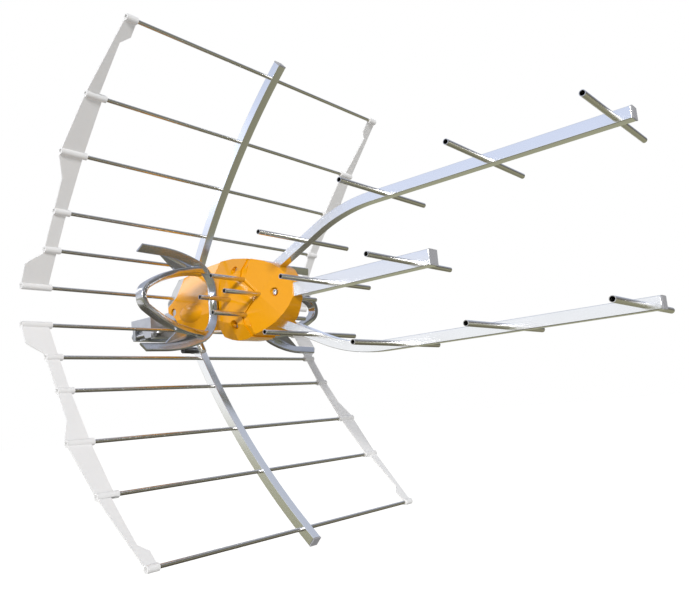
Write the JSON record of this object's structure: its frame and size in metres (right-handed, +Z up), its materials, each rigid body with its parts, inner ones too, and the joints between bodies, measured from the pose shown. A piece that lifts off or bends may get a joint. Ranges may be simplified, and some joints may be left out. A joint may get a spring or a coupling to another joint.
{
  "type": "uhf tv antenna",
  "caption": "Outdoor UHF television antenna: three director booms, faceted orange dipole housing, cast loop dipole, curved rod reflector panels and a mast clamp.",
  "frame": {"origin": "on the mast axis, half way up the mast clamp", "axes": "+Z up along the mast, -Y the way the directors point, X along the rods"},
  "size_m": [0.521, 0.7782, 0.6492],
  "materials": {
    "housing_orange": "semi-gloss moulded",
    "cover_grey": "satin",
    "socket_black": "satin",
    "strip_white": "satin",
    "plug_grey": "matt",
    "boom_aluminium": "extruded, bright",
    "rod_aluminium": "drawn",
    "director_aluminium": "drawn tube",
    "dipole_casting": "die cast, polished",
    "bracket_zinc": "pale zinc",
    "saddle_zinc": "die cast zinc",
    "zinc_steel": "zinc plated",
    "connector_nickel": "nickel plated",
    "insulator_white": "matt",
    "board_green": "satin",
    "vial_green": "clear tinted"
  },
  "bodies": {
    "antenna": {"balun_board": "board_green", "bracket_bolt": "zinc_steel", "bracket_nut": "zinc_steel", "clamp_nuts": "zinc_steel", "clamp_washers": "zinc_steel", "connector_insulator": "insulator_white", "f_connector": "connector_nickel", "housing_director_1": "director_aluminium", "housing_director_2": "director_aluminium", "housing_director_3": "director_aluminium", "housing_director_4": "director_aluminium", "housing_screws": "zinc_steel", "left_dipole": "dipole_casting", "left_front_shell": "housing_orange", "level_vial": "vial_green", "lower_director_1": "director_aluminium", "lower_director_2": "director_aluminium", "lower_director_3": "director_aluminium", "lower_director_4": "director_aluminium", "lower_director_boom": "boom_aluminium", "lower_director_boom_plug": "plug_grey", "lower_left_end_strip": "strip_white", "lower_reflector_boom": "boom_aluminium", "lower_reflector_boom_plug": "plug_grey", "lower_reflector_rod_1": "rod_aluminium", "lower_reflector_rod_2": "rod_aluminium", "lower_reflector_rod_3": "rod_aluminium", "lower_reflector_rod_4": "rod_aluminium", "lower_reflector_rod_5": "rod_aluminium", "lower_reflector_rod_6": "rod_aluminium", "lower_right_end_strip": "strip_white", "mast_bracket": "bracket_zinc", "mast_saddle": "saddle_zinc", "middle_director_1": "director_aluminium", "middle_director_2": "director_aluminium", "middle_director_boom": "boom_aluminium", "middle_director_boom_plug": "plug_grey", "rear_body": "housing_orange", "rear_cover": "cover_grey", "reflector_socket": "socket_black", "right_dipole": "dipole_casting", "right_front_shell": "housing_orange", "upper_director_1": "director_aluminium", "upper_director_2": "director_aluminium", "upper_director_3": "director_aluminium", "upper_director_4": "director_aluminium", "upper_director_boom": "boom_aluminium", "upper_director_boom_plug": "plug_grey", "upper_left_end_strip": "strip_white", "upper_reflector_boom": "boom_aluminium", "upper_reflector_boom_plug": "plug_grey", "upper_reflector_rod_1": "rod_aluminium", "upper_reflector_rod_2": "rod_aluminium", "upper_reflector_rod_3": "rod_aluminium", "upper_reflector_rod_4": "rod_aluminium", "upper_reflector_rod_5": "rod_aluminium", "upper_reflector_rod_6": "rod_aluminium", "upper_right_end_strip": "strip_white"},
    "jaw": {"clamp_jaw": "saddle_zinc", "clamp_bolts": "zinc_steel"}
  },
  "joints": [
    {"name": "jaw_slide", "type": "slide", "parent": "antenna", "child": "jaw", "axis": [0, 1, 0], "range_m": [-0.012, 0.01]}
  ]
}
